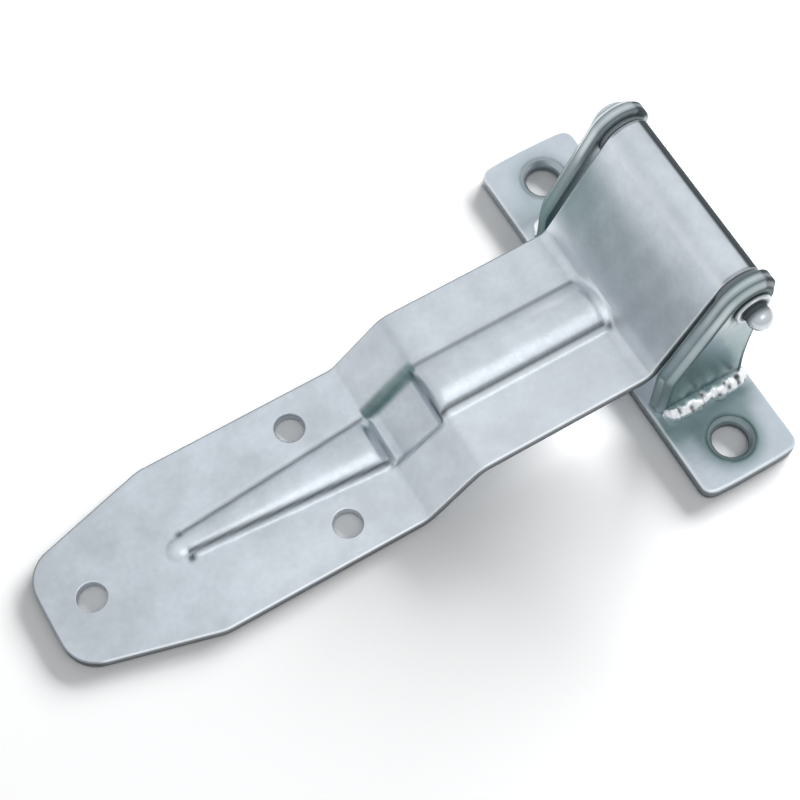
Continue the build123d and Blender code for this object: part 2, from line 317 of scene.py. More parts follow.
def zinc(name, base, rough, mottle=0.05, tint=None, grain=0.10, scratch=0.3):
    """Satin zinc plating: clouded pale metal with a fine grain, and the three painted marks of its
    vertices: shade, teal shade and highlight.
    """
    mat = bpy.data.materials.new(name)
    add = Nodes(mat)
    at = add("TexCoord", output="Object")

    def noise(scale, detail=3.0, roughness=0.55, place=at):
        return add("TexNoise", {"Scale": scale, "Detail": detail, "Roughness": roughness, "Vector": place},
                   output="Fac")

    def mark(key):
        return add("Attribute", output="Fac", attribute_name=key)

    base = np.array(base)
    clouds = add.ramp(noise(70.0, 4.0, 0.6), 0.35, 0.65, 0.0, 1.0)       # about 14 mm across
    spots = add.ramp(noise(520.0, 2.0, 0.5), 0.30, 0.70, 0.0, 1.0)       # about 2 mm across
    colour = add.tinted(clouds, base * (1 - mottle), np.minimum(base * (1 + mottle), 1.0))
    colour = add.tinted(add.ramp(spots, 0, 1, 0.0, grain), colour, base * 0.72)
    if tint:
        colour = add.tinted(add.ramp(noise(45.0, 2.0), 0.40, 0.72, 0.0, 0.75), colour, tint)
    for key, most, mark_colour in MARK_COLOURS:
        colour = add.tinted(add.ramp(mark(key), 0, 1, 0.0, most), colour, mark_colour)

    gloss = add.math("ADD", add.ramp(clouds, 0, 1, rough - 0.03, rough + 0.03),
                     add.ramp(spots, 0, 1, -0.02, 0.03))
    gloss = add.math("ADD", gloss, add.ramp(mark("painted_shade"), 0, 1, 0.0, 0.45))

    drawn = add("Mapping", {"Vector": at, "Scale": (0.06, 1.0, 1.0)})    # long along x, for scratches
    height = add.math("ADD", noise(900.0, 2.0), add.math("MULTIPLY", noise(160.0), 1.6))
    height = add.math("ADD", height, add.math("MULTIPLY", noise(1400.0, 2.0, 0.5, drawn), scratch))
    bump = add("Bump", {"Strength": 0.10, "Distance": 0.0004, "Height": height})
    metal = add("BsdfPrincipled", {"Metallic": 1.0, "Base Color": colour, "Roughness": gloss,
                                   "Normal": bump})
    add("OutputMaterial", {"Surface": metal})
    return mat


strap_zinc = zinc("satin_zinc_strap", (0.590, 0.634, 0.684), 0.36, mottle=0.10, grain=0.16)
plate_zinc = zinc("satin_zinc_bracket", (0.60, 0.648, 0.705), 0.34, mottle=0.10, tint=(0.52, 0.595, 0.64))
# The ears' zinc is the same plating made darker and tealer: painted shade and painted reflection on their
# upright faces
ear_zinc_shaded = zinc("satin_zinc_ears_shaded", (0.38, 0.435, 0.46), 0.32, mottle=0.14, tint=(0.27, 0.355, 0.365))
pin_zinc = zinc("smooth_zinc_pin", (0.58, 0.62, 0.65), 0.24, scratch=0.1)
weld_zinc = zinc("weld_zinc", (0.88, 0.90, 0.92), 0.30, mottle=0.10, grain=0.25)

# ---- the strap's side profile on its outer surface, tip to roll ----
span = math.hypot(BEND - PIN[0], PIN[1] - RAISED)
rise = math.atan2(PIN[1] - RAISED, PIN[0] - BEND) - math.asin(KNUCKLE_OUT / span)
square = rise - math.pi / 2     # angle about the pin where the web touches the roll
ROLL = 2 * math.pi - math.acos(KNUCKLE_IN / KNUCKLE_OUT) - math.radians(8)    # stops short of the web
touch = (PIN[0] + KNUCKLE_OUT * math.cos(square), PIN[1] + KNUCKLE_OUT * math.sin(square))
corners = [(TIP, SHEET), (FOOT, SHEET), (TOP, RAISED), (BEND, RAISED), touch]
roll_ang = square + np.linspace(0, ROLL, 400)[1:]
roll = np.stack([PIN[0] + KNUCKLE_OUT * np.cos(roll_ang), PIN[1] + KNUCKLE_OUT * np.sin(roll_ang)], 1)
profile = even(np.concatenate([rounded_path(corners, (5.0, 9.0, 3.5)), roll]), 0.05)
along = arc_length(profile)
outward = right_normals(profile)


def station(x, z):
    """Length along the profile of its nearest point to (x, z)."""
    return float(along[np.argmin(np.hypot(profile[:, 0] - x, profile[:, 1] - z))])


S_FOOT, S_TOP, S_BEND = station(FOOT, SHEET), station(TOP, RAISED), station(BEND, RAISED)
S_TOUCH = station(*touch)
S_END = float(along[-1])

# ---- the bead: its crest's offset from the sheet, and its outline ----
NOSE, BUTTON, BUTTON_R = 46.3, 44.8, 4.3        # stations of the bead's narrow end and of its round button
BUTTON_END = NOSE - 0.6                         # up to here the bead is the button alone
GROOVE = 2.5 * np.array([0.6932, 0.7207])       # the groove's depth, square to the joggle's slope
SMOOTHING = np.exp(-np.linspace(-2.5, 2.5, 61) ** 2)
crest_keys = np.array([                         # station, offset in x, offset in z
    (BUTTON - BUTTON_R, 0, 2.3), (BUTTON, 0, 2.3), (NOSE - 0.2, 0, 2.0), (NOSE + 1.5, 0, 2.4),
    (S_FOOT - 4.0, 0, 4.0), (S_FOOT - 2.0, 0, 3.6),
    (S_FOOT + 1.6, *(-0.7 * GROOVE)), (S_FOOT + 4.0, *-GROOVE),
    (S_TOP - 4.2, *-GROOVE), (S_TOP - 2.2, *(-0.6 * GROOVE)),
    (S_TOP + 0.4, 0.6, 3.9), (S_TOP + 2.0, 0, 4.5), (S_BEND - 2.3, 0, 4.5),
    (S_BEND - 0.2, -0.95, 3.85), (S_BEND + 1.7, -0.75, 2.5), (S_BEND + 4.6, 0, 0),
])
crest = [np.interp(along, crest_keys[:, 0], crest_keys[:, k], left=0, right=0) for k in (1, 2)]
crest = [np.convolve(offset, SMOOTHING / SMOOTHING.sum(), "same") for offset in crest]


def bead_half(s):
    """Half width of the bead: straight taper from its narrow end to the joggle's foot, then parallel."""
    return np.interp(s, [NOSE, S_FOOT, S_TOP, S_END], [4.4, 9.6, 10.2, 10.2])


def groove_half(s):
    """Half width of the groove across the joggle, a little wider at its upper end."""
    return np.interp(s, [S_FOOT, S_TOP], [10.4, 11.8])


def in_groove(s):
    """1 along the joggle's slope, where the bead turns into a groove, easing to 0 at both bends."""
    return ease((s - S_FOOT + 1.0) / 3.0) * ease((S_TOP + 0.2 - s) / 3.0)


def bead_inside(s, y):
    """Distance inside the bead's outline: to its sides, or to the circle of the round button."""
    side = np.where(s < BUTTON_END, -9.0, bead_half(s) - np.abs(y))
    return np.maximum(side, BUTTON_R - np.hypot(s - BUTTON, y))


def bead_rise(s, y):
    """Share of the crest's offset that a point takes.

    For the bead it is a low arch, 1 - (1 - t)^2 with t the share of the way in from its side; the
    groove has sloping sides and a level bottom.
    """
    inside = bead_inside(s, y)
    t = np.clip(inside / np.where(s < BUTTON_END, BUTTON_R, bead_half(s)), 0, 1)
    arch = (1 - (1 - t) ** 2) * ease((inside + 0.15) / 0.8)
    ditch = ease((groove_half(s) - np.abs(y)) / 3.3)
    slope = in_groove(s)
    return arch * (1 - slope) + ditch * slope


def fold(s, y, depth, lift):
    """Place of a point of the flat sheet once folded.

    It is the profile's point at s, plus the crest's offset times lift, minus the depth along the
    outward normal. A point before the profile's start or past its end goes on along the tangent.
    """
    s_in = np.clip(s, 0, S_END)
    over = s - s_in
    x, z, nx, nz, cx, cz = (np.interp(s_in, along, values) for values in (*profile.T, *outward.T, *crest))
    return np.stack([x + lift * cx - depth * nx - over * nz, y, z + lift * cz - depth * nz + over * nx], 1)


def strap_marks(S, Y, D, edge_mark, outline):
    """Painted shade, painted highlights and painted teal shade of the strap, 0 to 1: each the largest of
    the places listed.

    A place is a product of bells and smooth steps of the station, of the distance across, and of
    the distance inside the bead's outline.
    """
    low = D > SHEET / 2
    wall = (D > 0.4) & ((np.abs(Y) > 11) | (S < 4)) & outline
    inside, half, slope = bead_inside(S, Y), bead_half(S), in_groove(S)
    foot, top, bend = S - S_FOOT, S - S_TOP, S - S_BEND
    on_bead = ease(S - NOSE + 0.5) * ease((-0.5 - bend) / 2) * (1 - slope)
    on_crown = ease((S - NOSE) / 2) * ease((-1 - bend) / 2) * (1 - slope)
    before_bend = ease((-1 - bend) / 3)
    upper = ease(top / 2)                           # on the raised flat
    near = ease((Y + 1.5) / 3)                      # on the bead's near half
    within = ease((half + 1.2 - np.abs(Y)) / 2)     # between the bead's sides
    roll_turn = np.degrees((S - S_TOUCH) / KNUCKLE_OUT + square)
    far_rim = np.maximum(ease((-Y - 6) / 4), 1 - ease((S - 6) / 5)) * (1 - ease(bend / 3))
    height = bend * 0.896 + RAISED                  # z on the web
    web = bell(height - 40.5, 12, 4) * ease((bend - 1) / 3)
    web_cloud = np.sin(0.5 * Y + 0.23 * height) * np.sin(0.31 * height - 0.2 * Y)
    wall_cloud = np.sin(0.83 * S + 0.6 * Y) * np.sin(1.3 * Y - 0.37 * S)
    far_wall = (bell(Y + 10.2, 2.3, 4) * (0.90 + 0.10 * wall_cloud)        # painted shade and teal on the groove's far side
                * ease((foot - 0.2) / 1.2) * ease((1 - top) / 1.5))

    # Painted shade in the creases of the pressing
    creases = np.maximum.reduce([
        # painted shade along the bead's two sides
        on_bead * (near * 0.92 * bell(inside - 1.9 - 0.4 * upper, 0.88)
                   + (1 - near) * 0.70 * bell(inside, 0.75)),
        # painted shade round the button, and in the two corners where the bead starts
        0.20 * bell(BUTTON_R - np.hypot(S - BUTTON, Y) - 0.2, 0.6) * (S < NOSE),
        np.where(Y > 0, 1.0, 0.9) * bell(S - 46.7, 1.4) * bell(np.abs(Y) - 4.3, 1.2),
        # painted shade along the groove's sides, and across its two ends
        np.where(Y > 0, 0.6, 0.35) * bell(np.abs(Y) - groove_half(S) + 0.6, 0.5) * slope,
        0.55 * bell(foot - 0.2, 0.6) * within * (0.30 + 0.70 * ease((Y + 3) / 6)),
        0.90 * bell(top + 1.6, 0.8) * within * (0.15 + 0.85 * ease((Y + 2) / 6)),
        # painted shade at the joggle's upper bend, and at the bead's near corner at the web's bend
        0.12 * bell(top, 1.8),
        0.80 * bell(bend + 0.2, 1.6) * bell(Y - 9.2, 1.3),
    ])
    # Painted shade in broad bands and along the far edge
    shade_places = np.maximum.reduce([
        0.62 * edge_mark * far_rim,                                         # painted shade on the edge away from the light
        0.11 * (1 - ease((S - 18) / 40)),                                   # painted shade, darker towards the tip
        ease((roll_turn - 110) / 12) * (1 - ease((roll_turn - 148) / 12)),  # painted shade in a band behind the knuckle
        (0.27 + 0.05 * web_cloud) * web,                                    # painted shade on the web's middle
        0.75 * ease((np.abs(Y) - 28.9) / 0.6)                               # painted shade at the knuckle's two ends, against the washers
        * ease((roll_turn - 35) / 20) * (1 - ease((roll_turn - 170) / 10)),
    ])
    # Painted shade on the groove's far wall, stronger towards its lower end
    groove_shade = (far_wall * ease((-Y - 7.6) / 1.5)
                    * (0.80 - 0.40 * ease((foot - 3) / (S_TOP - S_FOOT - 6))))
    # Painted shade on the side walls and in the creases, then the broad bands and the groove's far wall
    dark = np.where(wall, 0.92, np.where(low, 0, creases))
    dark = np.maximum.reduce([dark, np.where(low, 0, shade_places), groove_shade])

    pale = np.maximum.reduce([
        # painted highlights beside the bead's two sides, and on its crown
        on_crown * (near * (0.05 + 0.50 * upper) * bell(inside + 0.9 - 1.7 * upper, 0.75)
                    + (1 - near) * 0.30 * bell(inside + 1.7 + 0.9 * upper, 0.6)),
        on_crown * 0.22 * bell(Y - 0.33 * half, 0.32 * half),
        (0.22 + 0.60 * ease((30 + bend) / 20)) * on_crown * upper * bell(Y + 5.6, 1.7),
        0.55 * bell(np.hypot(S - BUTTON + 0.3, Y - 0.6), 2.2),
        # painted light on the raised flat, the near side of both flats, and the joggle's slope beside the
        # groove
        0.16 * upper * before_bend,
        (0.22 + 0.14 * upper) * ease((Y - 6) / 8) * before_bend * ease((S - 40) / 40),
        0.20 * ease(foot / 3) * ease(-top / 3) * (1 - within),
        # painted highlights at the joggle's foot and top, beside the bead
        0.30 * bell(foot - 0.8, 0.9) * ease((-Y - 11.5) / 2),
        0.55 * bell(top - 2.6, 0.8) * ease(Y - 10.2) * ease((15.4 - Y) / 2),
        # painted highlights at the web's bend: the bead's end, the bend itself, and the foot of the web
        0.80 * bell(bend + 2.2, 1.8) * bell(Y - 2.5, 2.2),
        0.30 * bell(bend - 0.3, 0.8) * ease((np.abs(Y) - 10.5) / 2),
        0.85 * bell(bend - 3.2, 3.4, 4) * ease((bend + 0.5) / 1.5) * (0.62 + Y / 80),
        # painted highlights on the sheet's edge, and two bands along the knuckle
        edge_mark * (1 - 0.9 * far_rim),
        0.62 * bell(roll_turn - 38, 11),
        0.24 * bell(roll_turn - 88, 20, 4),
    ])
    # Painted teal shade on the groove's far wall and across the web's middle, stronger towards the far side
    painted_teal_shade = np.maximum(0.98 * far_wall, (0.06 + 0.62 * ((STRAP_HALF - Y) / (2 * STRAP_HALF)) ** 2) * web)
    return dark, np.where(low, 0, pale), np.where(low, 0, painted_teal_shade)


def build_strap():
    """Strap from tip to roll: rows are denser at the bends, columns run across its tapering width."""
    edge = (0.7, 0.5)
    tip_corners = [(TAPER_LEN, STRAP_HALF), (0, TIP_HALF), (0, -TIP_HALF)]
    outline = rounded_path([(S_END, STRAP_HALF)] + tip_corners, (14.0, 12.0))
    outline = outline[outline[:, 1] >= 0]
    arc = rounded_path(tip_corners, (12.0,))[1:-1]
    start = arc[len(arc) // 2, 0]               # the first row starts halfway round the tip's corner
    side, front = outline[outline[:, 0] >= start], outline[outline[:, 0] <= start]
    side, front = side[np.argsort(side[:, 0])], front[np.argsort(front[:, 1])]
    last = S_END - edge[0]
    runs = [(start, 5.5, 0.7), (5.5, S_FOOT - 8, 0.9), (S_FOOT - 8, S_FOOT + 6, 0.42),    # from, to, step
            (S_FOOT + 6, S_TOP - 7, 0.7), (S_TOP - 7, S_TOP + 6, 0.42), (S_TOP + 6, S_BEND - 6, 0.9),
            (S_BEND - 6, S_BEND + 7, 0.40), (S_BEND + 7, S_TOUCH, 0.9), (S_TOUCH, last, 0.5)]
    rows = [np.linspace(a, b, max(2, int(round((b - a) / d))), endpoint=False) for a, b, d in runs]
    rows = np.concatenate(rows + [[last]])
    half = np.interp(rows, side[:, 0], side[:, 1])

    def lead(y):
        """How far the tip's edge lies past the first row, a little less towards the corners."""
        reach = np.interp(np.abs(y), front[:, 1], front[:, 0]) - start
        return reach + edge[0] * (1 - 0.4 * np.abs(y / y.max()) ** 4)

    holes = [(TIP - x, y, STRAP_HOLE_R) for x, y in STRAP_HOLES]
    sheet = Sheet(rows, half, side_normals(rows, half), 73, SHEET, edge, [(0, lead, 6.0)], holes,
                  hole_wall(0.45, SHEET))
    S, Y, D = sheet.S, sheet.Y, sheet.D
    lift = np.where(D > SHEET / 2, bead_rise(S, np.abs(Y) + 1.2), bead_rise(S, Y))
    marks = strap_marks(S, Y, D, sheet.edge_mark, sheet.outline)
    return make_piece("strap_sheet", fold(S, Y, D, lift), sheet.faces.tolist(), strap_zinc,
                      "strap", "zinc_sheet", *marks)


strap = build_strap()
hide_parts("strap_leaf")


# ---- the bracket's plate ----
def build_plate():
    """Bracket plate: the same laid-out sheet, along Y, with rounded corners and chamfered holes."""
    r, edge, chamfer = PLATE_CORNER, (0.9, 0.5), 1.3
    end = PLATE_HALF_L - r * (1 - math.cos(math.pi / 4))       # the last row, halfway round the corner
    rows = np.concatenate([np.linspace(-end, 4 - end, 6, endpoint=False),
                           np.linspace(4 - end, end - 4, 120, endpoint=False),
                           np.linspace(end - 4, end, 7)])
    ang = np.linspace(math.pi / 2, math.pi / 4, 20)
    half = np.interp(np.abs(rows), PLATE_HALF_L - r + r * np.cos(ang), PLATE_HALF_W - r + r * np.sin(ang),
                     left=PLATE_HALF_W)

    def lead(sign):
        """How far the end's edge lies past the last row: the two corners' arcs and the straight between."""
        def reach(y):
            b = np.clip(np.abs(y) - (PLATE_HALF_W - r), 0, r)
            return sign * (PLATE_HALF_L - r + np.sqrt(np.maximum(r * r - b * b, 0)) - end - edge[0])
        return reach

    hole_edge = [(chamfer + 0.3, 0), (chamfer + 0.1, 0.04), (chamfer - 0.1, 0.18),
                 (0.15, chamfer - 0.1), (0.03, chamfer + 0.1), (0, chamfer + 0.5), (0, 3.2),
                 (0, PLATE_T - 0.3), (0.1, PLATE_T - 0.1)]
    sheet = Sheet(rows, half, side_normals(rows, half), 37, PLATE_T, edge,
                  [(0, lead(-1), 5.0), (-1, lead(1), 5.0)],
                  [(y, 0.0, PLATE_HOLE_R) for y in (-PLATE_HOLE_Y, PLATE_HOLE_Y)], hole_edge)
    verts = np.stack([sheet.Y, sheet.S, PLATE_T - sheet.D], 1)

    # Painted marks: shade as a dark ring and teal round the holes, teal beside the welds, dark bores and
    # darker walls, less on the far half; highlights on the edges.
    top = sheet.D < PLATE_T / 2
    wall = (sheet.D > 0.5) & sheet.outline
    from_hole = np.hypot(sheet.Y, np.abs(sheet.S) - PLATE_HOLE_Y)
    from_ear = np.abs(sheet.S) - EAR_OUT
    near = np.where(sheet.S > 0, 1.0, 0.45)
    shade_share = 1.15 * bell(from_ear - 6, 6.5) * ease((sheet.Y + 22) / 14) + 0.9 * bell(from_hole - 8, 3.2)
    shade_share = np.clip(shade_share, 0, 1) * near * top
    upper_dark = 0.92 * bell(from_hole - 7.6, 0.9, 4) * near + 0.40 * shade_share * bell(from_ear - 5.5, 1.5)
    bore_dark = (0.45 + 0.35 * near) * (from_hole < 6.4)
    dark = np.where(wall, 0.50 + 0.38 * ease((sheet.S + 55) / 110), np.where(top, upper_dark, bore_dark))
    return make_piece("bracket_plate", verts, sheet.faces[:, ::-1].tolist(), plate_zinc,
                      "bracket", "zinc_plate", dark, 0.7 * sheet.edge_mark, 0.72 * shade_share)


plate = build_plate()
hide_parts("base_plate")


# ---- the ears ----
def ear_outline():
    """Closed outline of an ear in x and z, at even steps.

    The front goes straight up to a rounded knee and on along a tangent to the crown, an arc about
    the pin. The back is a straight line bent in by a parabola. Corners are softened by averaging
    neighbours, but not at the foot.
    """
    knee = (EAR_FRONT, EAR_KNEE)
    to_pin = (PIN[0] - knee[0], PIN[1] - knee[1])
    start = math.atan2(to_pin[1], to_pin[0]) - math.asin(EAR_CROWN / math.hypot(*to_pin)) - math.pi / 2
    t = np.linspace(start, math.pi, 60)
    crown = np.stack([PIN[0] + EAR_CROWN * np.cos(t), PIN[1] + EAR_CROWN * np.sin(t)], 1)
    w = np.linspace(0, 1, 40)[1:-1]
    back = np.stack([(1 - w) * (PIN[0] - EAR_CROWN) + w * EAR_BACK + EAR_HOLLOW * 4 * w * (1 - w),
                     (1 - w) * PIN[1] + w * PLATE_T], 1)
    front = rounded_path([(EAR_FRONT, PLATE_T), knee, tuple(crown[0])], (8.0,), 0.3)
    foot = [(EAR_BACK, PLATE_T)]
    loop = even(np.concatenate([foot, front, crown[1:], back, foot]), 0.55)[:-1]
    smooth = loop
    for _ in range(4):
        smooth = (np.roll(smooth, 1, 0) + 2 * smooth + np.roll(smooth, -1, 0)) / 4
    from_foot = np.min([np.hypot(loop[:, 0] - x, loop[:, 1] - PLATE_T) for x in (EAR_BACK, EAR_FRONT)], 0)
    f = ease((from_foot - 1) / 4)[:, None]
    return smooth * f + loop * (1 - f)


def build_ear(name, sign, node, shade_share):
    """Ear: rings of its outline, closed from the hole over both faces and the rim between them.

    The inner edge is rounded by a small radius and the outer one cut at 45 degrees. Each face is
    a straight blend from points on the hole to the outline drawn in.
    """
    loop = ear_outline()
    middle, half = (EAR_FRONT + EAR_BACK) / 2, (EAR_FRONT - EAR_BACK) / 2
    tangent = np.roll(loop, -1, 0) - np.roll(loop, 1, 0)
    normal = unit(np.stack([tangent[:, 1], -tangent[:, 0]], 1))
    level = np.stack([np.where(loop[:, 0] > middle, 1.0, -1.0), np.zeros(len(loop))], 1)
    upright = ease((loop[:, 1] - PLATE_T - 0.3) / 3)[:, None]
    normal = unit(normal * upright + level * (1 - upright))
    at_plate = (loop[:, 1] < PLATE_T + 0.05)[:, None]

    def inner(inset):
        """Outline moved in by an inset along its normal; its line on the plate only gets shorter."""
        shorter = middle + (loop[:, 0] - middle) * (half - inset) / half
        return np.where(at_plate, np.stack([shorter, loop[:, 1] + 0.15 * inset], 1), loop - normal * inset)

    def bore_for(outline):
        """Points on the hole for an outline's: their angle from the pin, evened by the way along."""
        phi = np.unwrap(np.arctan2(outline[:, 1] - PIN[1], outline[:, 0] - PIN[0]))
        way = np.linspace(0, 2 * math.pi, len(phi), endpoint=False) * np.sign(phi[-1] - phi[0])
        phi = 0.65 * phi + 0.35 * (way + np.mean(phi - way))
        return np.array(PIN) + BORE_R * np.stack([np.cos(phi), np.sin(phi)], 1)

    def face(inset, y, shares):
        """Rings of a flat face, at shares of the way from the hole to the outline moved in."""
        edge = inner(inset)
        bore = bore_for(edge)
        return [(bore * (1 - q) + edge * q, y, 0.0, 0.0) for q in shares]

    cut, radius = 2.2, 0.5                      # of the outer and of the inner edge
    steps = np.linspace(0, 1, 9)
    rim_y, cut_y = EAR_IN + radius, EAR_OUT - cut
    # Share of the way over the rim and over the cut edge, with its painted highlight and painted shade
    # there.
    rim_marks = ((0.12, 0.0, 0.55), (0.25, 0.0, 0.10), (0.45, 0.22, 0.0), (0.62, 0.25, 0.0),
                 (0.80, 0.08, 0.05))
    cut_marks = ((0.0, 0.0, 0.45), (0.06, 0.0, 0.45), (0.16, 0.0, 0.10), (0.35, 0.18, 0.0),
                 (0.62, 0.24, 0.0), (0.82, 0.06, 0.15), (0.94, 0.0, 0.80), (1.0, 0.0, 0.95))
    rings = face(radius + 0.25, EAR_IN, steps) + [(inner(radius), EAR_IN, 0.0, 0.3)]
    rings += [(inner(radius * (1 - math.sin(a))), EAR_IN + radius * (1 - math.cos(a)), 0.0, 0.45)
              for a in np.linspace(0, math.pi / 2, 5)[1:]]          # the rounded inner edge
    rings += [(inner(0.0), rim_y + share * (cut_y - rim_y), painted_gleam, dark) for share, painted_gleam, dark in rim_marks]
    rings += [(inner(0.0), cut_y - 0.10 * cut, 0.0, 0.15)]
    rings += [(inner(cut * share), cut_y + cut * share, painted_gleam, dark) for share, painted_gleam, dark in cut_marks]
    rings += [(inner(cut + 0.35), EAR_OUT, 0.0, 0.95), (inner(cut + 0.8), EAR_OUT, 0.0, 0.15)]
    rings += face(cut + 1.0, EAR_OUT, steps[::-1])
    ring = np.concatenate([r[0] for r in rings])
    y, painted_gleam, dark = (np.repeat([r[k] for r in rings], len(loop)) for k in (1, 2, 3))
    x, z = ring.T
    index = np.arange(len(ring)).reshape(len(rings), -1)
    faces = grid_faces(index, close_u=True, close_v=True)
    if sign > 0:
        faces = faces[:, ::-1]

    # Painted marks: teal shade low down, highlights on the crowns, a band of shade behind them, dark rings
    # of shade round the pin and shade at the foot; more shade on the far ear.
    dist = np.hypot(x - PIN[0], z - PIN[1])
    turn = np.degrees(np.arctan2(z - PIN[1], x - PIN[0])) % 360
    outside = (y > EAR_OUT - 0.05).astype(float)
    rim = 1 - outside
    low, high = bell(z - 21, 15), ease((z - 45) / 11)
    painted_teal_shade = outside * (0.24 + 0.76 * low * ease((x + 16) / 13)) + rim * (0.05 + 0.85 * shade_share * low)
    dark = np.maximum.reduce([
        dark * ease((z - 6) / 4) * (1 + 0.35 * high),
        0.75 * (shade_share - 0.45) * (1 - high),
        rim * ease((turn - 112) / 14) * (1 - ease((turn - 150) / 25)) * ease(dist - 7),
        outside * (0.85 * bell(dist - 6.4, 0.8) + 0.35 * ease((8 - z) / 3)),
    ])
    painted_gleam = painted_gleam * (1 - 0.7 * low) * (0.5 + 1.9 * high) + 0.45 * outside * high * ease((dist - 7.2) / 0.6)
    piece = make_piece(name, np.stack([x, sign * y, z], 1), faces.tolist(), ear_zinc_shaded,
                       "bracket", "zinc_plate", np.clip(dark, 0, 1), np.clip(painted_gleam, 0, 1), painted_teal_shade)
    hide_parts(node)
    return piece


# The far ear gets the larger share of painted shade
build_ear("ear_near", 1, "ear_left", 0.45)
build_ear("ear_far", -1, "ear_right", 1.0)


# ---- weld beads ----
def build_weld(name, sign, node, seed):
    """Weld bead along an ear's foot, as a radius about the corner's line for each x and turn.

    The radius is the root plus, on the open side, the leg times the cosine of the turn from 45
    degrees to the power 0.7, with waves, ripples, round lumps and pits; both ends are drawn in.
    """
    rng = np.random.default_rng(seed)
    x0, x1, root, leg = -16.4, 14.4, 0.7, 4.5
    X, T = np.meshgrid(np.linspace(x0, x1, 150), np.linspace(0, 2 * math.pi, 48, endpoint=False),
                       indexing="ij")
    from_middle = np.cos(T - math.pi / 4)
    front = np.clip(from_middle, 0, 1) ** 0.7
    phase = rng.uniform(0, 2 * math.pi)
    wobble = (0.5 * np.sin(X * 0.55 + phase) + 0.35 * np.sin(X * 1.3 + 1.7 * phase)
              + 0.2 * np.sin(X * 2.9 + T))
    ripple = 0.22 * np.abs(np.sin((X + 1.1 * from_middle ** 2 + wobble) * math.pi / 2.6)) ** 0.8

    def blobs(heights, places, widths, turns):
        """Sum of round bumps, each a bell of the distance along the bead and round its leg."""
        each = zip(heights, places, widths, turns)
        return sum(h * bell(np.hypot(X - x, (T - t) * leg), w) for h, x, w, t in each)

    lump_n, pit_n = 46, 13
    lumps = blobs(rng.uniform(0.12, 0.50, lump_n), rng.uniform(x0, x1, lump_n),
                  rng.uniform(0.6, 1.5, lump_n), rng.uniform(0.1, 1.5, lump_n))
    pits = blobs(np.ones(pit_n), rng.uniform(x0 + 1, x1 - 1, pit_n),
                 rng.uniform(0.45, 0.95, pit_n), rng.uniform(0.35, 1.3, pit_n))
    lumps = lumps - 0.35 * pits
    end = np.sqrt(np.clip(1 - (np.abs(X - (x0 + x1) / 2) / ((x1 - x0) / 2 + 0.01)) ** 8, 0, 1))
    r = (root + (leg + ripple + lumps + 0.35 * wobble) * front) * end
    verts = np.stack([X, sign * (EAR_OUT + r * np.cos(T)), PLATE_T + r * np.sin(T)], -1).reshape(-1, 3)
    index = np.arange(len(verts)).reshape(X.shape)
    faces, caps = grid_faces(index, close_v=True)[:, ::sign], (index[0, ::-sign], index[-1, ::sign])
    # Painted shade in the pits and on the bead's back, painted highlight on the lumps
    dark = (np.where(front > 0.15, 0.0, 0.5) + 0.95 * np.clip(pits, 0, 1)
            + 0.12 * ease((0.25 - front) / 0.25))
    painted_gleam = np.clip(0.35 + 0.6 * lumps - 0.5 * pits, 0, 0.9)
    piece = make_piece(name, verts, faces.tolist() + [cap.tolist() for cap in caps], weld_zinc,
                       "bracket", "weld_bead",
                       np.clip(dark, 0, 1).ravel(), painted_gleam.ravel(), np.zeros(len(verts)))
    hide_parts(node)
    return piece


build_weld("weld_near", 1, "weld_left", 4)
build_weld("weld_far", -1, "weld_right", 9)

# ---- turned pieces on the pin's axis ----
AROUND = 96


def crease(verts):
    """Painted shade, 0 to 1, where turned pieces meet: the end washer, the tail's neck and the inner
    washers; and a band round the tail's ball.
    """
    y, r = verts[:, 1], np.hypot(verts[:, 0] - PIN[0], verts[:, 2] - PIN[1])
    out = y - EAR_OUT
    neck = bell(out - 2.5, 0.9) * (r < 4.2)
    foot = bell(out - 0.1, 0.6) * (r > 4.5)
    seat = bell(out - WASHER_T, 0.5) * bell(r - 4.1, 0.9)
    girth = bell(out - 3.9, 1.0) * (r > 3.0) * (r < 4.2)
    inner_washers = (np.abs(y) > 30) & (np.abs(y) < EAR_IN + 0.1)
    return np.clip(0.98 * neck + 0.95 * foot + 0.98 * seat + 0.60 * girth + 0.75 * inner_washers, 0, 1)


def turned(name, outline, node, dent=None):
    """Section of (radius, y) turned about the pin's axis: closed on itself, or with both ends on the axis.

    dent changes the radius as a function of radius, y and turn.
    """
    line = np.array(outline, float)
    th = np.linspace(0, 2 * math.pi, AROUND, endpoint=False)
    R, T = np.meshgrid(line[:, 0], th, indexing="ij")
    Y = np.repeat(line[:, 1:], AROUND, 1)
    if dent is not None:
        R = dent(R, Y, T)
    verts = np.stack([PIN[0] + R * np.cos(T), Y, PIN[1] + R * np.sin(T)], -1)
    if line[0, 0] < TINY:
        verts = np.concatenate([verts[0, :1], verts[1:-1].reshape(-1, 3), verts[-1, :1]])
        index = np.arange(1, len(verts) - 1).reshape(-1, AROUND)
        faces = grid_faces(index, close_v=True).tolist()
        for tip, ring in ((0, index[0, ::-1]), (len(verts) - 1, index[-1])):
            faces += np.stack([np.full(AROUND, tip), ring, np.roll(ring, -1)], 1).tolist()
    else:
        verts = verts.reshape(-1, 3)
        faces = grid_faces(np.arange(R.size).reshape(R.shape), close_u=True, close_v=True).tolist()
    zero = np.zeros(len(verts))
    piece = make_piece(name, verts, faces, pin_zinc, "bracket", "zinc_pin", crease(verts), zero, zero)
    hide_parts(node)
    return piece


def arc_points(c, r, a0, a1, n):
    """Points (radius, y) of an arc about c."""
    a = np.radians(np.linspace(a0, a1, n))
    return [(c[0] + r * math.cos(t), c[1] + r * math.sin(t)) for t in a]


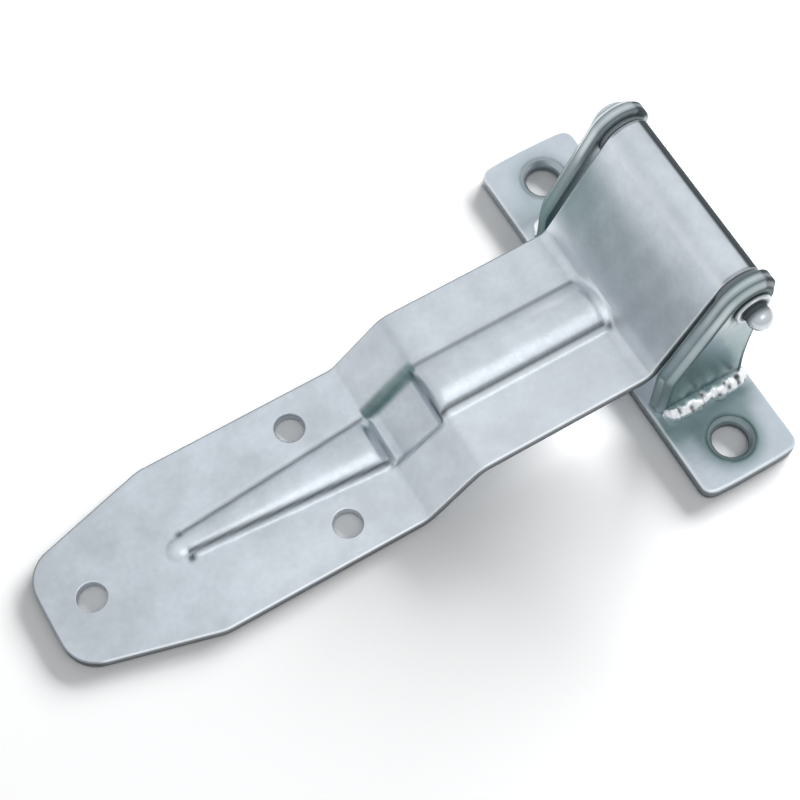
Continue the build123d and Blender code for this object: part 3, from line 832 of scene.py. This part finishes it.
def hammered(R, Y, T):
    """Radius with small hand-formed dents in the pin's tail and head: sines of 3 and 5 waves a turn."""
    dent = 0.10 * np.sin(3 * T + 0.7) + 0.07 * np.sin(5 * T + 2.0)
    return R * (1 + 0.1 * dent * ease((np.abs(Y) - EAR_OUT - 1.6) / 2.5))


tail, head, nose_r = EAR_OUT + WASHER_T + PIN_TAIL, -EAR_OUT - PIN_HEAD, 3.8
dome = [(r, head + up) for r, up in (
    (0, 0), (1.2, 0.04), (2.4, 0.16), (3.5, 0.36), (4.5, 0.66), (5.3, 1.02), (5.95, 1.45), (6.3, 1.85),
    (6.45, 2.2), (6.5, 2.6), (6.5, 3.0), (6.4, PIN_HEAD))]
shank = [(PIN_R, head + PIN_HEAD), (PIN_R, 0.0), (PIN_R, EAR_OUT + WASHER_T)]
neck = [(PIN_R - cut, tail - back) for cut, back in (
    (0, 6.1), (0.10, 5.8), (0.22, 5.5), (0.16, 5.2), (0.05, 4.7), (0, 4.1))]
nose = arc_points((PIN_R - nose_r, tail - nose_r), nose_r, 2, 90, 16) + [(0, tail)]
turned("hinge_pin_turned", dome + shank + neck + nose, "hinge_pin", hammered)


def ring_outline(r_out, y0, y1, e):
    """Washer's section with small rounded outer corners of radius e."""
    return ([(BORE_R, y0), (r_out - e, y0)] + arc_points((r_out - e, y0 + e), e, -70, 0, 4)
            + arc_points((r_out - e, y1 - e), e, 0, 70, 4) + [(r_out - e, y1), (BORE_R, y1)])


turned("thrust_ring_near", ring_outline(WASHER_R, EAR_IN - WASHER_T, EAR_IN, 0.4), "thrust_washer_left")
turned("thrust_ring_far", ring_outline(WASHER_R, -EAR_IN, WASHER_T - EAR_IN, 0.4), "thrust_washer_right")
turned("end_ring", ring_outline(END_WASHER_R, EAR_OUT, EAR_OUT + WASHER_T, 0.5), "end_washer")

# ---- floor, light and camera, in metres ----
CENTRE = (0.08, 0.0, 0.01)
FLOOR_HALF, FLOOR_Z = 6.0, -0.0004
FLOOR_FADE = (0.17, 0.42)       # from the centre: where the floor starts to turn white, and where it is
DOME_ON_MATT = 0.37             # the dome's strength for matt surfaces, so that the key's shadow shows
DOME_LOW, DOME_TILT = 0.84, -0.05                # its strength low down, and its change along x


def pale_floor():
    """Matt pale floor that turns plain white away from the hinge, except for rays from matt surfaces.

    Seen from underneath it lets the view through.
    """
    mat = bpy.data.materials.new("pale_floor")
    add = Nodes(mat)
    matt = add("BsdfPrincipled", {"Base Color": (0.97, 0.97, 0.97, 1), "Roughness": 0.9,
                                  "Specular IOR Level": 0.1})
    place = add("TexCoord", output="Object")
    away = add.ramp(add("VectorMath", {0: place, 1: CENTRE}, output="Value", operation="DISTANCE"),
                    *FLOOR_FADE, 0.0, 1.0)
    mirrored = add.math("SUBTRACT", 1.0, add("LightPath", output="Is Diffuse Ray"))
    white = add("Emission", {"Strength": 1.0})
    upper = add("MixShader", {0: add.math("MULTIPLY", away, mirrored), 1: matt, 2: white})
    below = add("NewGeometry", output="Backfacing")
    add("OutputMaterial", {"Surface": add("MixShader", {0: below, 1: upper, 2: add("BsdfTransparent")})})
    return mat


floor_mesh = bpy.data.meshes.new("floor")
floor_corners = [(-FLOOR_HALF, -FLOOR_HALF), (FLOOR_HALF, -FLOOR_HALF), (FLOOR_HALF, FLOOR_HALF),
                 (-FLOOR_HALF, FLOOR_HALF)]
floor_mesh.from_pydata([(x, y, FLOOR_Z) for x, y in floor_corners], [], [(0, 1, 2, 3)])
floor_mesh.materials.append(pale_floor())
floor = bpy.data.objects.new("floor", floor_mesh)
bpy.context.scene.collection.objects.link(floor)


def studio():
    """Pale dome, brighter towards the top and a little on the pin's side; plain white to the camera."""
    world = bpy.data.worlds.new("studio")
    bpy.context.scene.world = world
    add = Nodes(world)
    toward = add("TexCoord", output="Generated")
    dome = add.ramp(add("SeparateXYZ", {0: toward}, output="Z"), 0.05, 0.70, DOME_LOW, 1.0)
    tilt = add.math("MULTIPLY_ADD", add("SeparateXYZ", {0: toward}, output="X"), DOME_TILT, 1.0)
    share = add.ramp(add("LightPath", output="Is Diffuse Ray"), 0.0, 1.0, 1.0, DOME_ON_MATT)
    light = add.math("MULTIPLY", add.math("MULTIPLY", dome, tilt), share)
    strength = add.math("MAXIMUM", light, add("LightPath", output="Is Camera Ray"))
    sky = add("Background", {"Color": (0.97, 0.985, 1.0, 1), "Strength": strength})
    add("OutputWorld", {"Surface": sky})


def soft_lamp(name, place, size, watts, mirrored=True):
    """Rectangular area lamp turned towards the hinge; one not mirrored only lights the matt floor."""
    lamp = bpy.data.lights.new(name, "AREA")
    lamp.shape = "RECTANGLE"
    lamp.size, lamp.size_y = size
    lamp.energy = watts
    ob = bpy.data.objects.new(name, lamp)
    ob.location = place
    ob.rotation_mode = "QUATERNION"
    ob.rotation_quaternion = (Vector(CENTRE) - Vector(place)).to_track_quat("-Z", "Y")
    ob.visible_glossy = mirrored
    bpy.context.scene.collection.objects.link(ob)


def aim_camera(azimuth, elevation, roll, distance, target, focal_px, photo_px=800, sensor=36.0):
    """Camera on a sphere round its target, as fitted to the hinge's edges; angles in degrees."""
    a, e, r = (math.radians(v) for v in (azimuth, elevation, roll))
    back = Vector((math.sin(a) * math.cos(e), -math.cos(a) * math.cos(e), math.sin(e)))
    right = Vector((math.cos(a), math.sin(a), 0))
    up = back.cross(right)
    right, up = right * math.cos(r) + up * math.sin(r), up * math.cos(r) - right * math.sin(r)
    cam = bpy.data.cameras.new("camera")
    cam.sensor_width, cam.lens = sensor, sensor * focal_px / photo_px
    cam.clip_start, cam.clip_end = 0.01, 20
    ob = bpy.data.objects.new("camera", cam)
    turn = Matrix((right, up, back)).transposed()
    ob.matrix_world = Matrix.Translation(Vector(target) + back * distance) @ turn.to_4x4()
    bpy.context.scene.collection.objects.link(ob)
    bpy.context.scene.camera = ob


studio()
soft_lamp("key_lamp", (-1.05, -0.40, 0.52), (1.0, 0.45), 36.0, mirrored=False)
soft_lamp("fill_lamp", (0.20, 0.35, 1.20), (0.5, 0.5), 0.5, mirrored=False)
soft_lamp("top_lamp", (-0.10, 0.55, 1.20), (0.9, 0.60), 1.5)
aim_camera(149.488, 65.294, 0.047, 0.59491, (0.081822, -0.010898, 0.0), 1861.75)
bpy.context.scene.view_settings.view_transform = "Standard"
